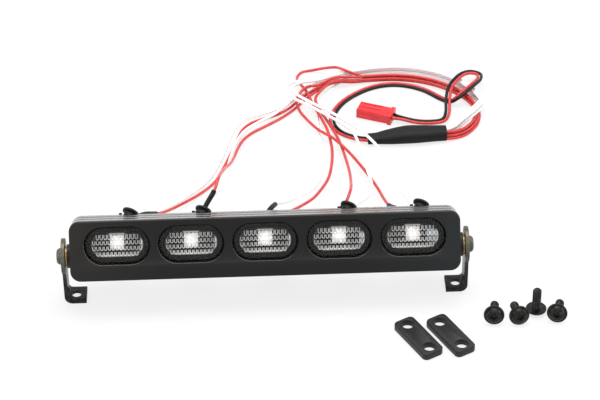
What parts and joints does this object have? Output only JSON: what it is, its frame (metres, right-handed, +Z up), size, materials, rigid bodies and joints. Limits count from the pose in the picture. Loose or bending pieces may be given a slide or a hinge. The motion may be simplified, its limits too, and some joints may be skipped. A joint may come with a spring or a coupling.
{
  "type": "led light bar",
  "caption": "Black light bar for a scale-model truck: a row of oval LED lamps tilting between two L-shaped brackets, with wiring harness, plug, spacer plates and loose screws.",
  "frame": {"origin": "midway between the two bracket foot holes, on the surface the brackets stand on", "axes": "+X along the bar to the right-hand bracket, +Y behind the bar towards the harness, +Z up"},
  "size_m": [0.1722, 0.17, 0.0322],
  "materials": {
    "black_anodised": "satin black anodised",
    "clear_lens": "clear, with a fluted inner face",
    "mirror_finish": "bright metallised",
    "led_white": "clear white epoxy",
    "black_rubber": "matt",
    "shrink_tube": "satin heat-shrink",
    "red_insulation": "glossy silicone",
    "white_insulation": "glossy silicone",
    "black_insulation": "glossy silicone",
    "circuit_board": "satin solder mask",
    "solder": "bright",
    "red_plastic": "moulded, satin",
    "tin_brass": "bright",
    "brass": "turned",
    "black_nylon": "satin",
    "black_oxide": "black oxide with a slight sheen"
  },
  "bodies": {
    "light_bar": {"front_bezel": "black_anodised", "housing": "black_anodised", "rear_cover": "black_anodised", "lens_1": "clear_lens", "lens_2": "clear_lens", "lens_3": "clear_lens", "lens_4": "clear_lens", "lens_5": "clear_lens", "reflector_1": "mirror_finish", "reflector_2": "mirror_finish", "reflector_3": "mirror_finish", "reflector_4": "mirror_finish", "reflector_5": "mirror_finish", "led_1": "led_white", "led_2": "led_white", "led_3": "led_white", "led_4": "led_white", "led_5": "led_white", "led_boot_1": "black_rubber", "led_boot_2": "black_rubber", "led_boot_3": "black_rubber", "led_boot_4": "black_rubber", "led_boot_5": "black_rubber", "shrink_sleeves_1": "shrink_tube", "shrink_sleeves_2": "shrink_tube", "shrink_sleeves_3": "shrink_tube", "shrink_sleeves_4": "shrink_tube", "shrink_sleeves_5": "shrink_tube", "harness_sleeve": "shrink_tube", "red_wire_1": "red_insulation", "red_wire_2": "red_insulation", "red_wire_3": "red_insulation", "red_wire_4": "red_insulation", "red_wire_5": "red_insulation", "lead_wire_red": "red_insulation", "white_wire_1": "white_insulation", "white_wire_2": "white_insulation", "white_wire_3": "white_insulation", "white_wire_4": "white_insulation", "white_wire_5": "white_insulation", "lead_wire_black": "black_insulation", "led_boards": "circuit_board", "wire_splice": "solder", "connector_housing": "red_plastic", "connector_contacts": "tin_brass", "threaded_inserts": "brass", "brass_washers": "brass", "nylon_washers": "black_nylon", "cover_screws": "black_oxide", "pivot_screws": "black_oxide"},
    "left_bracket": {"left_bracket": "black_oxide"},
    "right_bracket": {"right_bracket": "black_oxide"},
    "spacer_plate_1": {"spacer_plate_1": "black_nylon"},
    "spacer_plate_2": {"spacer_plate_2": "black_nylon"},
    "mounting_screw_1": {"mounting_screw_1": "black_oxide"},
    "mounting_screw_2": {"mounting_screw_2": "black_oxide"},
    "mounting_screw_3": {"mounting_screw_3": "black_oxide"},
    "mounting_screw_4": {"mounting_screw_4": "black_oxide"}
  },
  "joints": [
    {"name": "left_bracket_tilt", "type": "hinge", "parent": "light_bar", "child": "left_bracket", "pos_m": [0, 0, 0.018], "axis": [1, 0, 0], "range_deg": [-90, 90]},
    {"name": "right_bracket_tilt", "type": "hinge", "parent": "light_bar", "child": "right_bracket", "pos_m": [0, 0, 0.018], "axis": [1, 0, 0], "range_deg": [-90, 90]},
    {"name": "spacer_plate_1_lift", "type": "slide", "parent": "light_bar", "child": "spacer_plate_1", "axis": [0, 0, 1], "range_m": [0, 0.03]},
    {"name": "spacer_plate_2_lift", "type": "slide", "parent": "light_bar", "child": "spacer_plate_2", "axis": [0, 0, 1], "range_m": [0, 0.03]},
    {"name": "mounting_screw_1_lift", "type": "slide", "parent": "light_bar", "child": "mounting_screw_1", "axis": [0, 0, 1], "range_m": [0, 0.03]},
    {"name": "mounting_screw_2_lift", "type": "slide", "parent": "light_bar", "child": "mounting_screw_2", "axis": [0, 0, 1], "range_m": [0, 0.03]},
    {"name": "mounting_screw_3_lift", "type": "slide", "parent": "light_bar", "child": "mounting_screw_3", "axis": [0, 0, 1], "range_m": [0, 0.03]},
    {"name": "mounting_screw_4_lift", "type": "slide", "parent": "light_bar", "child": "mounting_screw_4", "axis": [0, 0, 1], "range_m": [0, 0.03]}
  ]
}
